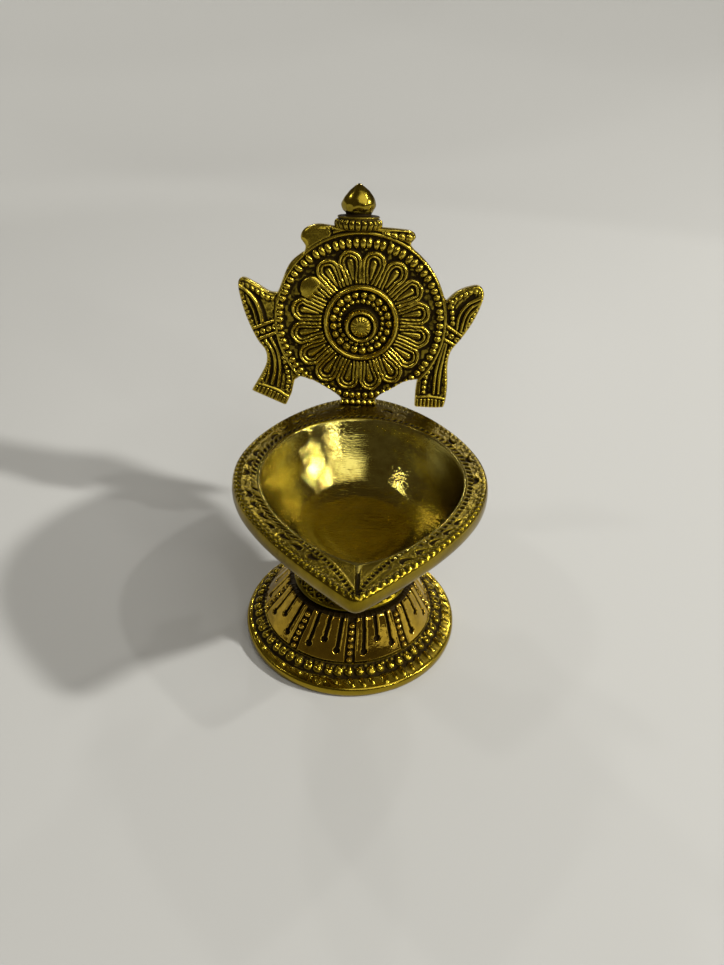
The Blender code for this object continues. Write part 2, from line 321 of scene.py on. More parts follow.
def brass(name, bright, dull, rough, tarnish=0.5, patina_and_shade=1.0, grain=0.4, scratch=0.0, cast=0.3, swirl=0.0):
    """Aged brass. bright and dull are its two colours, tarnish how much of the dull one shows, patina
    how dark the recesses and the places of painted shade are, grain and cast the fine and coarse bumps,
    scratch the straight polishing lines and swirl those that run round the lamp's axis."""
    made = bpy.data.materials.new(name)
    made.use_nodes = True
    tree = made.node_tree
    shader = tree.nodes["Principled BSDF"]
    where = node(tree, "ShaderNodeTexCoord").outputs["Object"]
    recess_and_shade = node(tree, "ShaderNodeAttribute", attribute_name="recess_and_shade").outputs["Fac"]
    proud_minus_shade = node(tree, "ShaderNodeAttribute", attribute_name="proud_minus_shade").outputs["Fac"]

    def calc(operation, *values, clamp=False):
        sum_node = node(tree, "ShaderNodeMath", operation=operation, use_clamp=clamp)
        feed(tree, sum_node.inputs, values)
        return sum_node.outputs[0]

    def plus(total, value, share):
        """total with a share of value added."""
        return calc("ADD", total, calc("MULTIPLY", value, share))

    def cloud(source, size, detail, roughness):
        return node(tree, "ShaderNodeTexNoise", Vector=source, Scale=1.0 / (size * MM), Detail=detail,
                    Roughness=roughness).outputs["Fac"]

    def pattern(size, detail, roughness=0.55, scale=None, rotation=None):
        source = where
        if scale:
            source = node(tree, "ShaderNodeMapping", Vector=where, Scale=scale, Rotation=rotation).outputs[0]
        return cloud(source, size, detail, roughness)

    # colour: bright metal, dull where it's tarnished and where shade is painted, and nearly black in the recesses
    # and in painted shade
    broad, mottle, fine = pattern(9.0, 4), pattern(1.6, 5), pattern(0.34, 3)
    stain = calc("ADD", calc("MULTIPLY", broad, 0.9), calc("MULTIPLY", mottle, 0.6))
    stain = calc("SUBTRACT", stain, 0.75 - 0.5 * (tarnish - 0.5))
    stain = calc("MULTIPLY_ADD", stain, 3.2, 0.5, clamp=True)
    # places that stand out show less of the dull colour; where the layer falls below zero, the extra dull colour is
    # painted shade
    worn = calc("SUBTRACT", stain, calc("MULTIPLY", proud_minus_shade, 0.55), clamp=True)
    worn = calc("MULTIPLY", worn, tarnish * 1.4, clamp=True)
    colour = mix_colour(tree, worn, (*bright, 1), (*dull, 1))
    deep = calc("MULTIPLY_ADD", calc("SUBTRACT", fine, 0.5), 0.9, calc("MULTIPLY", recess_and_shade, 1.9))
    deep = calc("MULTIPLY", calc("SUBTRACT", deep, 0.22), patina_and_shade, clamp=True)
    colour = mix_colour(tree, deep, colour, (0.020, 0.012, 0.002, 1))

    # roughness and bumps
    level = calc("MULTIPLY_ADD", worn, 0.10, rough)
    level = plus(level, deep, 0.4)
    level = plus(level, calc("SUBTRACT", fine, 0.5), 0.12)
    if scratch:
        lines = pattern(0.5, 2, 0.7, (0.06, 1.0, 1.0), (0.0, 0.4, 0.9))
        level = plus(level, calc("SUBTRACT", lines, 0.5), 0.35 * scratch)
    if swirl:
        x, y, z = node(tree, "ShaderNodeSeparateXYZ", Vector=where).outputs
        angle = calc("ARCTAN2", x, calc("ADD", y, -AXIS[1]))
        rings = node(tree, "ShaderNodeCombineXYZ", X=calc("MULTIPLY", angle, 0.7 * MM), Y=z)
        brushed = calc("SUBTRACT", cloud(rings.outputs[0], 0.08, 2, 0.6), 0.5)
        level = plus(level, brushed, 0.25 * swirl)
    level = calc("MAXIMUM", level, 0.06, clamp=True)
    height = plus(calc("MULTIPLY", pattern(0.9, 4), cast), fine, grain * 0.35)
    if scratch:
        for turn in ((0.0, 0.4, 0.9), (0.3, 0.0, -0.7), (0.0, 0.0, 0.15)):
            lines = calc("POWER", pattern(0.30, 1, 0.6, (0.035, 1.0, 1.0), turn), 3.0)
            height = plus(height, lines, 1.4 * scratch)
    if swirl:
        height = plus(height, brushed, 0.7 * swirl)
    bump = node(tree, "ShaderNodeBump", Height=height, Strength=0.35, Distance=0.12 * MM)
    surface = {"Base Color": colour, "Metallic": calc("MULTIPLY_ADD", deep, -0.45, 1.0), "Roughness": level,
               "Specular IOR Level": 0.10, "Normal": bump.outputs["Normal"]}
    feed(tree, [shader.inputs[key] for key in surface], surface.values())
    return made


GOLD = (0.36, 0.256, 0.020)
OLIVE = (0.105, 0.072, 0.005)

LOOKS = {
    "foot": brass("foot_aged", GOLD, OLIVE, 0.17, patina_and_shade=0.9, cast=0.4),
    "cone": brass("cone_polished", (0.56, 0.37, 0.04), (0.20, 0.12, 0.012), 0.04, tarnish=0.45, grain=0.05,
                  scratch=0.10, cast=0.08),
    "edge": brass("polished_edge", (0.27, 0.19, 0.012), (0.12, 0.083, 0.005), 0.19, tarnish=0.45, patina_and_shade=0.6,
                  grain=0.3, scratch=0.3, cast=0.2),
    "rim": brass("punched_rim", (0.195, 0.140, 0.007), (0.080, 0.056, 0.003), 0.26, tarnish=0.55, grain=0.8,
                 cast=0.25),
    "inside": brass("polished_inside", (0.50, 0.43, 0.105), (0.19, 0.112, 0.005), 0.06, tarnish=0.4,
                    patina_and_shade=0.4, grain=0.08, scratch=0.8, cast=0.08, swirl=0.5),
    "plate": brass("plate_aged", (0.58, 0.435, 0.045), (0.20, 0.145, 0.013), 0.22, cast=0.5),
    "bud": brass("bud_worn", (0.34, 0.25, 0.025), OLIVE, 0.16, patina_and_shade=0.9, grain=0.3),
    "cut": brass("cut_metal", (0.44, 0.33, 0.06), (0.25, 0.18, 0.025), 0.32, tarnish=0.4, patina_and_shade=0.8,
                 scratch=0.3),
}


def finish_piece(obj, look, body, stands_for):
    obj.data.materials.append(LOOKS[look])
    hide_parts(stands_for)
    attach(obj, body)
    return obj


def second_look(obj, look, faces):
    """Gives the faces for which the list is true another look."""
    obj.data.materials.append(LOOKS[look])
    obj.data.polygons.foreach_set("material_index", faces.astype(np.int32))


# ---------------------------------------------------------------- foot

FOOT_TURN = math.radians(3.0)                # a bead strip stands 3 degrees right of the spout
PANELS = 9
PANEL_WIDTH = 360 / PANELS                   # in degrees
OFF_CENTRE = np.array([-0.75, 0.95, 0.0])    # the decorated ring was cast a little back and left
FOOT_EDGE_R = 22.3                           # where the cone stands on the flat ring


def turns_from_strip(angle):
    return (angle + np.pi / 2 - FOOT_TURN) / (2 * np.pi)


def foot_base():
    """The flat ring: plain edge, worn outer beads, a row of round beads and one of small beads."""
    main_r, small_r, outer_r = 23.85, 22.78, 25.9
    shown = path_through([(21.0, 0.0), (26.9, 0.0), (27.45, 0.5), (27.55, 1.2), (27.45, 2.1), (27.1, 2.55)], 0.45)
    band = path_through([(27.1, 2.55), (26.2, 2.75), (25.9, 2.85), (22.35, 4.35)], 0.13)[1:]
    hidden = [(22.0, 4.5), (18.5, 4.6), (18.9, 3.8), (19.6, 2.6), (20.5, 0.6)]
    profile = np.vstack([shown, band, hidden])
    grid, angle = turned_grid(profile, 900)
    r = spread(profile[:, 0], angle)
    first, rows = len(shown), len(profile)
    on_band = rows_between(first, first + len(band), rows)

    def beads(radius, count, size, tall, seed, wear=1.0):
        spot = turns_from_strip(angle) * count
        nearest = np.round(spot)
        own = nearest % count
        jitter = vary(-0.5, 0.5, own, 0, seed)
        across = (spot - nearest - jitter * 0.25) * 2 * np.pi * radius / count
        grown = size * vary(0.9, 1.1, own, 1, seed)
        d = np.hypot(across, (r - radius - 0.3 * jitter) * 1.08) / grown
        return tall * vary(0.75, 1.10, own, 2, seed) * dome(d) * wear

    azimuth = np.degrees((angle + np.pi / 2 + np.pi) % (2 * np.pi) - np.pi)
    right = window(-12, 5, 85, 110, azimuth)
    worn = bell(azimuth + 14, 7) * smooth(24.9, 25.3, r)
    small = beads(small_r, 104, 0.60, 0.40, 7)
    height = beads(main_r, 58, 1.18, 0.95, 5) + small
    height += beads(outer_r, 60, 0.84, 0.62, 6, 0.06 + 0.94 * right + 0.35 * worn)
    height -= 0.30 * window(25.0, 25.3, 25.4, 26.3, r) * (1 - right) * (1 - worn)
    height -= 0.28 * ridge(r - main_r - 0.05, 1.7)
    rough = lumps(grid, 1.3, 3)
    height += 0.16 * rough * smooth(26.9, 25.9, r) + 0.07 * lumps(grid, 4.0, 4)
    height += 0.22 * worn * noise(grid, 0.6, 9)
    height *= on_band * smooth(27.15, 26.6, r) * smooth(FOOT_EDGE_R, FOOT_EDGE_R + 0.2, r)
    moved = raised(grid, angle, 1.2, height)
    share = smooth(27.0, 25.6, profile[:, 0]) * smooth(0.5, 2.4, profile[:, 1])
    moved += share[:, None, None] * OFF_CENTRE

    layers = relief_layers(height, (5, 8))
    gutter = 0.35 * np.clip(-rough, 0, 1) + 0.5 * bell(r - 24.95, 0.3)
    layers["recess_and_shade"] += (1.2 - 0.35 * right) * smooth(23.0, 22.7, r) * (1 - 1.6 * small) * on_band
    layers["recess_and_shade"] += gutter * smooth(26.2, 25.4, r) * on_band + 0.5 * (r < 22.0)
    layers["proud_minus_shade"] += 1.6 * rows_between(0, first, rows) + 0.9 * smooth(25.2, 25.8, r) * on_band
    obj = skin("foot_base", moved, layers, closed=True)
    return finish_piece(obj, "foot", "foot", "foot")


def foot_cone():
    """The bell's wall: nine polished panels with three slots each, between strips of beads."""
    low, high = (FOOT_EDGE_R, 4.55), (16.1, 14.7)
    shown = path_through([low, high], 0.155)
    top = [(15.9, 14.95), (15.55, 15.15), (15.0, SEAT_Z), (13.6, SEAT_Z)]
    hidden = [(12.6, SEAT_Z), (8.0, SEAT_Z), (BORE_R, SEAT_Z), (BORE_R, 11.5), (BORE_R, 8.0), (6.2, 8.0),
              (6.2, 11.6), (6.8, 12.0), (12.4, 12.0), (13.4, 11.6), (18.4, 4.6), (19.0, 4.3)]
    profile = np.vstack([shown, top, hidden])
    grid, angle = turned_grid(profile, 936)
    length = math.dist(low, high)
    up = np.full(len(profile), 99.0)         # distance up the wall, 99 where nothing shows
    up[:len(shown)] = np.linspace(0, length, len(shown))
    up[len(shown):len(shown) + len(top)] = length + np.array([0.3, 0.8, 1.2, 2.5])
    s = spread(up, angle)
    on = (s < 90).astype(float)
    below_top = smooth(length + 0.4, length, s)
    mm_per_degree = spread(profile[:, 0], angle) * np.pi / 180

    # strips of beads between the panels
    turn = turns_from_strip(angle) * PANELS + 0 * s
    panel = np.floor(turn)
    part = (turn - panel) * PANEL_WIDTH      # degrees from the strip on the panel's left
    strip_id = np.round(turn) % PANELS
    across = np.minimum(part, PANEL_WIDTH - part) * mm_per_degree
    half = 0.86 + 0.030 * (length - s)
    wave = 0.10 * noise(np.stack([s, turn * 7, 0 * s], -1), 1.6, 21)
    strip = smooth(half + 0.28, half - 0.12, across + wave) * below_top
    pitch = 1.82
    row = np.round((s - 1.0) / pitch)
    lean = vary(-0.125, 0.125, strip_id, row, 8)
    side = np.where(part < PANEL_WIDTH / 2, part, part - PANEL_WIDTH) * mm_per_degree
    bead = dome(np.hypot(side - lean, s - 1.0 - row * pitch) / vary(0.80, 0.90, strip_id, row, 8, 1))
    bead *= (row >= 0) & (row <= 5)
    height = -0.62 * strip + strip * 1.05 * bead * vary(0.8, 1.1, strip_id, row, 8, 2)

    # three slots to a panel, each with a round end and raised lips
    slots, lips = 0 * s, 0 * s
    for n, (place_at, bottom) in enumerate(((10.2, 3.3), (20.2, 5.9), (30.6, 3.1))):
        tilt = vary(-0.65, 0.65, panel % PANELS, n, 11)
        start = bottom + vary(-0.45, 0.45, panel % PANELS, n, 11, 1)
        d = (part - place_at - tilt) * mm_per_degree
        d = d + 0.08 * noise(np.stack([s, turn * 5, 0 * s], -1), 1.0, 31)
        groove = smooth(0.56, 0.30, np.abs(d)) * smooth(start - 0.2, start + 0.25, s)
        ball = smooth(0.98, 0.62, np.hypot(d, s - start - 0.1))
        slots = np.maximum.reduce([slots, groove, ball])
        lips = np.maximum(lips, bell(np.abs(d) - 0.62, 0.16) * smooth(start, start + 0.6, s))
    slots *= (1 - strip) * below_top
    height += 0.13 * lips * (1 - strip) * (1 - slots) - 0.85 * slots + 0.10 * bell(across - half - 0.42, 0.22)
    height += 0.07 * np.cos(np.radians((part - 20) * PANELS)) * (1 - strip)      # the panels are nearly flat
    height += (1 - strip) * 0.10 * lumps(grid, 5.0, 41, 2) + 0.02 * lumps(grid, 1.1, 42)
    height -= 0.75 * smooth(0.65, 0.35, s) + 0.25 * smooth(length - 0.5, length + 0.2, s)
    height *= on
    moved = raised(grid, angle, 0.7, height)
    share = np.where(profile[:, 0] > 15.9, smooth(15.5, 4.5, profile[:, 1]), 0)
    moved += share[:, None, None] * OFF_CENTRE

    layers = relief_layers(height, (5, 7))
    layers["recess_and_shade"] += 0.55 * slots + 0.55 * strip * (1 - bead) + 1.2 * smooth(0.7, 0.4, s) * on
    # the rows at the top, in the gap under the collar, are painted near black: painted shade
    layers["recess_and_shade"] += 1.1 * smooth(length - 0.1, length + 0.5, s) * on + 0.2 * (1 - on)
    obj = skin("foot_cone", moved, layers, closed=True)
    return finish_piece(obj, "cone", "foot", "foot")


# ---------------------------------------------------------------- collar

def waist_collar():
    """The ring under the bowl: a plain bead and a slope with a lattice of 30 cells."""
    shown = path_through([(14.05, COLLAR_LOW), (14.55, 15.62), (14.75, 15.95), (14.7, 16.35), (14.3, 16.7)], 0.2)
    slope = spline([(14.3, 16.7), (13.0, 17.5), (12.1, 18.6), (11.55, 19.6), (11.3, COLLAR_TOP)], 8)
    slope = path_through(slope, 0.13)[1:]
    hidden = [(9.0, COLLAR_TOP), (BORE_R, COLLAR_TOP), (BORE_R, COLLAR_LOW), (9.0, COLLAR_LOW)]
    profile = np.vstack([shown, slope, hidden])
    grid, angle = turned_grid(profile, 660)
    first, last = len(shown), len(shown) + len(slope)
    run = np.zeros(len(profile))
    run[first:last] = np.cumsum(np.linalg.norm(np.diff(profile[first - 1:last], axis=0), axis=1))
    run, on = spread(run, angle), rows_between(first, last, len(profile))
    turn = (angle + np.pi / 2) / (2 * np.pi) * 30
    swirl = np.stack([9 * np.cos(angle) + 0 * run, 9 * np.sin(angle) + 0 * run, run], -1)
    wobble = 0.12 * noise(swirl, 1.4, 51)
    a, b = (np.abs((turn + way * run / 2.6 + wobble) % 1 - 0.5) for way in (1, -1))
    lattice = np.maximum(ridge(0.5 - a, 0.20), ridge(0.5 - b, 0.20))
    centre = dome(np.hypot(a, b) / 0.26)
    height = on * (0.42 * lattice + 0.22 * centre - 0.30) * smooth(0.0, 0.4, run)
    height += on * 0.05 * lumps(grid, 1.0, 52)
    layers = relief_layers(height, (4, 5))
    layers["recess_and_shade"] += 0.5 * on * (1 - lattice) * (1 - centre)
    obj = skin("waist_collar_cast", raised(grid, angle, 0.6, height), layers, closed=True)
    return finish_piece(obj, "rim", "collar", "waist_collar")


# ---------------------------------------------------------------- bowl

def leaf(shift, tip, side, end, pulls, soften, count):
    """A closed outline through its tip, widest point and round end. pulls are the four Bezier handles.
    count points run from the spout's tip round the right side, and soften rounds the tip."""
    def bezier(p, n):
        t = (np.arange(n) / n)[:, None]
        p = [np.array(v, float) for v in p]
        return (1 - t) ** 3 * p[0] + 3 * t * (1 - t) ** 2 * p[1] + 3 * t * t * (1 - t) * p[2] + t ** 3 * p[3]

    half = count // 2
    ahead = int(half * 28 / 48)
    right = np.vstack([bezier((tip, *pulls[:2], side), ahead), bezier((side, *pulls[2:], end), half - ahead), [end]])
    left = right[1:-1][::-1] * (-1, 1)
    loop = np.vstack([right, left]) + (shift, 0)
    rounded = blur(loop, soften, 0, True)
    number = np.arange(count)
    near_tip = bell(np.minimum(number, count - number), 3.0 * soften)[:, None]
    return loop + (rounded - loop) * near_tip


def rim_loop(count):
    return leaf(1.5, (0, -41.0), (30.6, 4.5), (0, 42.8), ((21, -23), (30.6, -11), (30.6, 21), (14, 42.5)),
                count / 150, count)


def mouth_loop(count):
    return leaf(MOUTH_X, (0, -29.2), (24.5, 3.5), (0, 30.2), ((9, -27.5), (24.5, -12), (24.5, 17), (14.5, 30.2)),
                count / 400, count)


def loop_normal(loop):
    d = np.roll(loop, -1, 0) - np.roll(loop, 1, 0)
    n = np.stack([d[:, 1], -d[:, 0]], -1)
    return n / np.linalg.norm(n, axis=1, keepdims=True)


def loop_run(loop):
    """Distance round the loop to each point, and the whole length."""
    step = np.linalg.norm(np.roll(loop, -1, 0) - loop, axis=1)
    return np.cumsum(step) - step, step.sum()


def at_height(loop, z):
    return np.concatenate([loop, np.full(loop.shape[:-1] + (1,), z)], -1)


def bowl_rim():
    """The flat punched rim with its beaded edge, the polished side band and the underside of the rim."""
    around, steps = 1260, 42                 # points round the rim, and rings from mouth to edge
    rim, mouth = rim_loop(around), mouth_loop(around)
    out, mouth_out = loop_normal(rim), loop_normal(mouth)
    inner, edge = mouth + mouth_out * 0.25, rim - out * 0.55
    share = np.linspace(0, 1, steps)[:, None]
    top = at_height(inner + (edge - inner) * share[..., None], RIM_Z)
    side = [(-0.35, 43.95), (-0.12, 43.75), (0.02, 43.4), (0.14, 42.9), (0.22, 42.2), (0.22, 41.5),
            (0.12, 40.9), (-0.12, 40.35), (-0.5, 39.95), (-1.2, RIM_UNDER_Z)]
    band = [at_height(rim + out * o, z) for o, z in side]
    hidden = [at_height(mouth + mouth_out * o, z) for o, z in ((4.4, RIM_UNDER_Z), (2.2, 40.5), (0.9, 42.6))]
    grid = np.concatenate([top, band, hidden])
    rows = len(grid)
    x, y = grid[..., 0], grid[..., 1]
    width = np.linalg.norm(edge - inner, axis=1)
    on = rows_between(0, steps, rows)
    from_mouth = np.zeros((rows, around))
    from_edge = np.full((rows, around), -1.0)
    from_mouth[:steps] = share * width
    from_edge[:steps] = width - from_mouth[:steps]
    run_out, all_out = loop_run(rim)
    run_in, all_in = loop_run(mouth)
    all_mid = (all_out + all_in) / 2

    # the edge: a row of beads between notches, worn away at the right and the back
    count = 118
    spot = run_out / all_out * count
    bead_id = np.round(spot)
    across = (spot - bead_id) * all_out / count
    tall = vary(0.75, 1.10, bead_id % count, 1, 61)
    swell = dome(np.hypot(across / 0.80, (from_edge - 0.50) / 0.68))
    notch = bell(np.abs(across) - all_out / count / 2, 0.26) * smooth(1.7, 0.9, from_edge)
    worn = 0.6 + 0.4 * noise(flat(x, y), 9.0, 62)
    kept = np.where(x > 0, 0.18 + 0.82 * smooth(-2, -12, y), 0.5 + 0.5 * smooth(4, -8, y))
    height = kept * (0.40 * swell * tall - 0.26 * notch * worn) * (from_edge >= 0)
    height -= 0.16 * bell(from_edge - 1.65, 0.22) * (from_edge >= 0) * worn * kept

    # slanted strokes beside the mouth, which run on to the spout's tip as two dotted lines
    count = 100
    spot = run_in / all_in * count + 0.35 * (from_mouth - 1.4)
    own = np.round(spot) % count
    slant = (spot - np.round(spot)) * all_in / count
    behind = smooth(-24.5, -21.0, y)
    sparse = smooth(-6, -14, x) * window(-10, -6, 3, 7, y) * (chance(own, 4, 0, 63) < 0.5)
    strokes = smooth(0.60, 0.34, np.abs(slant)) * smooth(0.72, 0.50, np.abs(from_mouth - 1.30))
    strokes *= vary(0.55, 1.15, own, 3, 63) * behind * (1 - 0.85 * sparse)
    for path in ([(-12.1, -21.2), (-7.5, -26.0), (-4.0, -30.0), (-1.3, -34.2), (1.2, -38.9)],
                 [(14.5, -21.4), (10.1, -26.2), (6.8, -30.0), (3.8, -34.2), (1.6, -38.9)]):
        run, offside, _ = along(spline(path, 6), x, y)
        dot = np.round(run / 1.25)
        d = np.hypot(run - dot * 1.25, offside) / vary(0.42, 0.52, dot, 5, 64)
        strokes = np.maximum(strokes, smooth(1.15, 0.7, d) * (1 - behind) * (run > 0) * (run < 21.5))
        height += 0.10 * bell(np.abs(offside) - 0.75, 0.2) * (1 - behind) * (run > 2) * on
    height -= 0.55 * strokes * on

    # the middle of the rim: punched crescents with raised lips, and ticks, on a hatched ground
    middle = (from_mouth + 0.35) / (width + 0.35)
    run_mid = (run_out / all_out + run_in / all_in) / 2
    count = 42
    spot = run_mid * count + 0.5
    own = np.round(spot) % count
    roll = chance(own, 7, 0, 65)
    way = np.where(roll > 0.5, 1, -1)
    along_mid = (spot - np.round(spot)) * all_mid / count
    shift = (middle - 0.53) * width - (roll - 0.5) * 0.6
    arc_gap = np.abs(shift - along_mid ** 2 * (0.28 + 0.15 * roll) * way + 0.3 * way)
    seldom = np.where(x > 0, 0.50 * smooth(-16, -8, y), 0.25)
    struck = np.where(chance(own, 8, 0, 65) < seldom, 0.15, 1.0) * smooth(-32, -28, y)
    crescent = smooth(0.62, 0.32, arc_gap) * smooth(1.75, 1.1, np.abs(along_mid) + 0.3 * roll) * struck
    lip = 0.45 * bell(arc_gap - 0.8, 0.25) * smooth(1.9, 1.2, np.abs(along_mid)) * struck
    count = 126
    tick_id = np.round(run_mid * count)
    tick = np.abs(run_mid * count - tick_id) * all_mid / count
    level = (middle - 0.78) * width + vary(-0.25, 0.25, tick_id, 9, 66)
    ticks = smooth(0.40, 0.15, np.hypot(tick, level * 0.8)) * (from_edge > 1.7) * 0.7
    height += (-0.50 * crescent + 0.12 * lip - 0.25 * ticks) * on
    hatch_place = flat(x * 0.5 + y * 2.2, x * 2.2 - y * 0.5)
    hatch = np.clip(noise(hatch_place, 0.9, 67) + 0.8 * noise(hatch_place, 0.45, 68), 0, 1)
    ground = smooth(0.8, 1.6, from_edge) * smooth(1.9, 2.4, from_mouth) * smooth(-36, -28, y)
    height -= 0.055 * hatch * ground * on

    # the spout: two flat facets that fall to a narrow groove
    from_groove = np.abs(x - 1.75)
    spout = window(-39.8, -37.6, -30.4, -28.6, y)
    wedge = smooth(6.0, 0.0, from_groove + (y + 30) * -0.55) * smooth(-28.4, -30, y)
    groove = smooth(0.75, 0.12, from_groove * (1 + 0.06 * (-30 - y))) * spout
    height -= (0.28 * wedge * smooth(-39.5, -36, y) + 0.85 * groove) * on
    height += 0.03 * lumps(grid, 1.2, 69) * on + 0.05 * lumps(grid, 6.0, 70)
    height *= np.where(on > 0, smooth(0.0, 0.35, from_mouth), 1)

    normal = np.zeros_like(grid)
    normal[:steps] = (0, 0, 1)
    normal[steps:steps + len(side)] = at_height(out, 0.0)
    moved = grid + normal * height[..., None]
    moved[:steps, :, 2] -= 0.22 * bell(from_mouth[:steps], 0.22)
    layers = relief_layers(height, (2.5, 2.5))
    layers["recess_and_shade"] = 0.35 * layers["recess_and_shade"] + on * (1.1 * strokes + 1.0 * crescent + 0.6 * ticks)
    layers["recess_and_shade"] += on * (0.14 * ground * hatch + 0.65 * notch * worn * kept + 0.4 * groove)
    obj = skin("bowl_rim", moved, layers, closed=True, inward=True)
    finish_piece(obj, "rim", "bowl", "bowl")
    row = np.arange(len(obj.data.polygons)) // around
    second_look(obj, "edge", (row >= steps - 1) & (row < steps + len(side)))


def bowl_body():
    """The polished inside and the plain outside of the bowl, down to its waist."""
    around = 448
    waist_r = 11.0
    mouth = mouth_loop(around)
    mouth_out = loop_normal(mouth)
    turn = circle(around)
    unit = np.column_stack([np.cos(turn), np.sin(turn)])
    centre = np.array([MOUTH_X, 2.0])
    rings = [at_height(centre + (mouth - centre) * share, FLOOR_Z + (RIM_Z - 0.16 - FLOOR_Z) * share ** 4)
             for share in (*np.linspace(0.03, 0.9, 46), *np.linspace(0.915, 1.0, 10))]
    lip = [(0.10, RIM_Z - 0.04), (0.30, RIM_Z - 0.02), (0.7, RIM_Z - 0.25)]
    inside = len(rings) + len(lip)
    under = [(3.4, 42.0), (4.7, RIM_UNDER_Z + 0.02), (3.9, 39.35), (3.2, 38.6), (3.0, 37.8)]
    rings += [at_height(mouth + mouth_out * grow, z) for grow, z in lip + under]
    wall_top, wall_low = 37.8, 21.2
    for z in np.linspace(wall_top - 0.6, wall_low + 0.1, 34):
        share = ((z - wall_low) / (wall_top - wall_low)) ** 0.7
        rings.append(at_height(mixed(unit * waist_r, mouth + mouth_out * 3.0, share), z))
    waist = [(waist_r, 20.9), (10.7, COLLAR_TOP), (BORE_R, COLLAR_TOP), (BORE_R, 24.7)]
    rings += [at_height(unit * r, z) for r, z in waist]
    grid = np.stack(rings)
    rows = len(grid)
    within = rows_between(0, inside, rows)
    row = np.arange(rows)[:, None]
    dent = 0.16 * lumps(grid, 9.0, 81, 2) * within + 0.10 * lumps(grid, 5.0, 82) * (1 - within)
    dent += 0.07 * np.sin(row / (rows - 1) * 75 - 0.3023) * within * smooth(8, 20, row)
    grid[..., 2] += dent * rows_between(0, rows - 3, rows)
    layers = blank_layers(grid, 0.0)
    layers["recess_and_shade"][inside:] = 0.12
    # the rows round the mouth's lip are painted darker and duller: painted shade that keeps the lip from catching a
    # bright line
    layers["recess_and_shade"][inside - 4:inside + 1] = 0.30
    layers["proud_minus_shade"][inside - 4:inside + 1] = -1.0
    # the inside is painted duller and darker towards the bottom: painted shade
    layers["proud_minus_shade"] -= 1.5 * smooth(42, 18, row)
    obj = skin("bowl_body", grid, layers, poles=True, inward=True)
    finish_piece(obj, "inside", "bowl", "bowl")
    faces = len(obj.data.polygons)
    row = np.arange(faces) // around
    second_look(obj, "foot", ((row >= inside + 1) & (row < rows - 1)) | (np.arange(faces) >= faces - around))


# ---------------------------------------------------------------- back plate

def to_lamp(points):
    """From the plate's own frame, in millimetres with its wheel centred at the origin, to the lamp's."""
    move = Matrix.Translation(Vector((0, PLATE_Y, RIM_Z)))
    m = np.array(move @ Matrix.Rotation(-LEAN, 4, "X") @ Matrix.Translation(Vector((0, 0, WHEEL_S))))
    return points @ m[:3, :3].T + m[:3, 3]


DISC_R, DISC_S = 22.95, 0.3      # the plate's disc, whose centre is a little above the wheel's


def plate_outline():
    """The plate's edge, counter-clockwise from the right of its neck, in (across, up)."""
    def arc(start, end, count):
        degrees = np.linspace(start, end, count + 1)[1:-1]
        t, r = np.radians(degrees), DISC_R + 0.65 * bell(degrees - 142, 9)
        return np.column_stack([r * np.cos(t), r * np.sin(t) + DISC_S])

    foot = -23.15
    return np.vstack([
        spline([(5.3, foot), (5.2, -22.6), (4.8, -21.5), (6.4, -19.8), (9.4, -18.0), (12.8, -15.9),
                (16.2, -15.2)], 6),
        [(15.9, -18.6), (15.9, -22.9)],
        spline([(16.3, -23.2), (22.6, -23.2), (24.2, -22.2), (24.6, -17.0), (24.2, -10.8), (24.8, -7.0),
                (27.2, -3.6), (29.6, 0.4), (31.4, 4.6), (32.2, 8.4), (30.9, 10.5), (28.0, 10.1), (25.0, 8.7),
                (22.6, 6.4)], 6),
        arc(16, 54, 20),
        spline([(13.4, 18.9), (12.3, 20.4), (13.4, 22.2), (12.2, 23.6), (8.6, 24.0), (4.8, 24.2)], 6),
        spline([(-7.6, 24.2), (-11.8, 24.5), (-14.9, 23.3), (-15.9, 21.2), (-14.7, 19.2), (-15.0, 17.7)], 6),
        arc(130, 162, 16),
        spline([(-22.2, 7.0), (-24.4, 7.2), (-27.8, 9.2), (-31.2, 10.6), (-32.4, 8.8), (-31.4, 3.4),
                (-29.6, -1.8), (-27.6, -5.8), (-25.6, -8.6), (-25.4, -11.8), (-27.0, -15.4), (-29.6, -19.8)], 6),
        [(-29.3, -20.2), (-20.6, -23.9), (-20.1, -23.7), (-18.7, -20.6), (-17.8, -16.6)],
        spline([(-16.2, -15.5), (-12.6, -16.5), (-9.0, -18.4), (-6.4, -20.0), (-4.8, -21.5), (-5.2, -22.6),
                (-5.3, foot)], 6),
    ])


def edge_distance(outline, x, y):
    """Distance from each place to the outline, negative outside, and the nearest point on it."""
    best = np.full(x.shape, 1e9)
    near = np.zeros(x.shape + (2,))
    inside = np.zeros(x.shape, bool)
    for a, b in zip(outline, np.roll(outline, -1, 0)):
        d = b - a
        t = np.clip(((x - a[0]) * d[0] + (y - a[1]) * d[1]) / (d @ d), 0, 1)
        px, py = a[0] + t * d[0], a[1] + t * d[1]
        gap = np.hypot(x - px, y - py)
        closer = gap < best
        best = np.where(closer, gap, best)
        near[closer, 0], near[closer, 1] = px[closer], py[closer]
        if a[1] != b[1]:
            inside ^= ((a[1] > y) != (b[1] > y)) & (x < (b[0] - a[0]) * (y - a[1]) / (b[1] - a[1]) + a[0])
    return np.where(inside, best, -best), near


